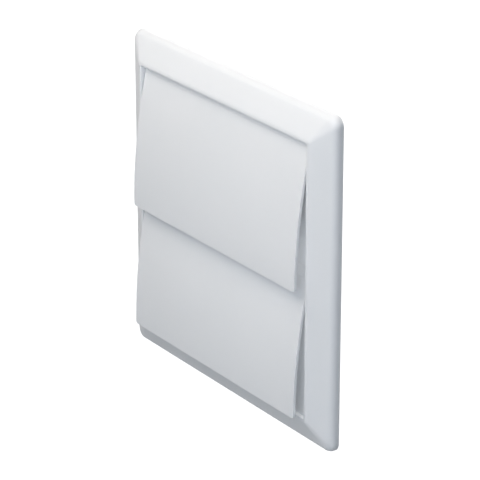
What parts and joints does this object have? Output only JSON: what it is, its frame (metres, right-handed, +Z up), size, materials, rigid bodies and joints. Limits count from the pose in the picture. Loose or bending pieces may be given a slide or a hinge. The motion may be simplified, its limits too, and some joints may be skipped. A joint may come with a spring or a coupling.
{
  "type": "gravity flap vent",
  "caption": "Square bevelled wall vent for a round duct, with curved hanging flaps that air lifts open and gravity closes.",
  "frame": {"origin": "middle of the wall face, on the axis of the duct collar", "axes": "+X right seen from the front, -Y out of the wall towards the front, +Y along the collar into the wall, +Z up"},
  "size_m": [0.14, 0.025, 0.14],
  "materials": {
    "cover_moulding": "satin moulded ABS, cool white",
    "plate_moulding": "plain moulded ABS, cool white",
    "flap_moulding": "satin moulded ABS, cool white"
  },
  "bodies": {
    "vent_body": {"cover_frame": "cover_moulding", "mounting_plate": "plate_moulding"},
    "upper_flap_body": {"upper_flap": "flap_moulding"},
    "lower_flap_body": {"lower_flap": "flap_moulding"}
  },
  "joints": [
    {"name": "upper_flap_hinge", "type": "hinge", "parent": "vent_body", "child": "upper_flap_body", "pos_m": [0, -0.005, 0.0551], "axis": [-1, 0, 0], "range_deg": [0, 40]},
    {"name": "lower_flap_hinge", "type": "hinge", "parent": "vent_body", "child": "lower_flap_body", "pos_m": [0, -0.005, 0.0011], "axis": [-1, 0, 0], "range_deg": [0, 40]}
  ]
}
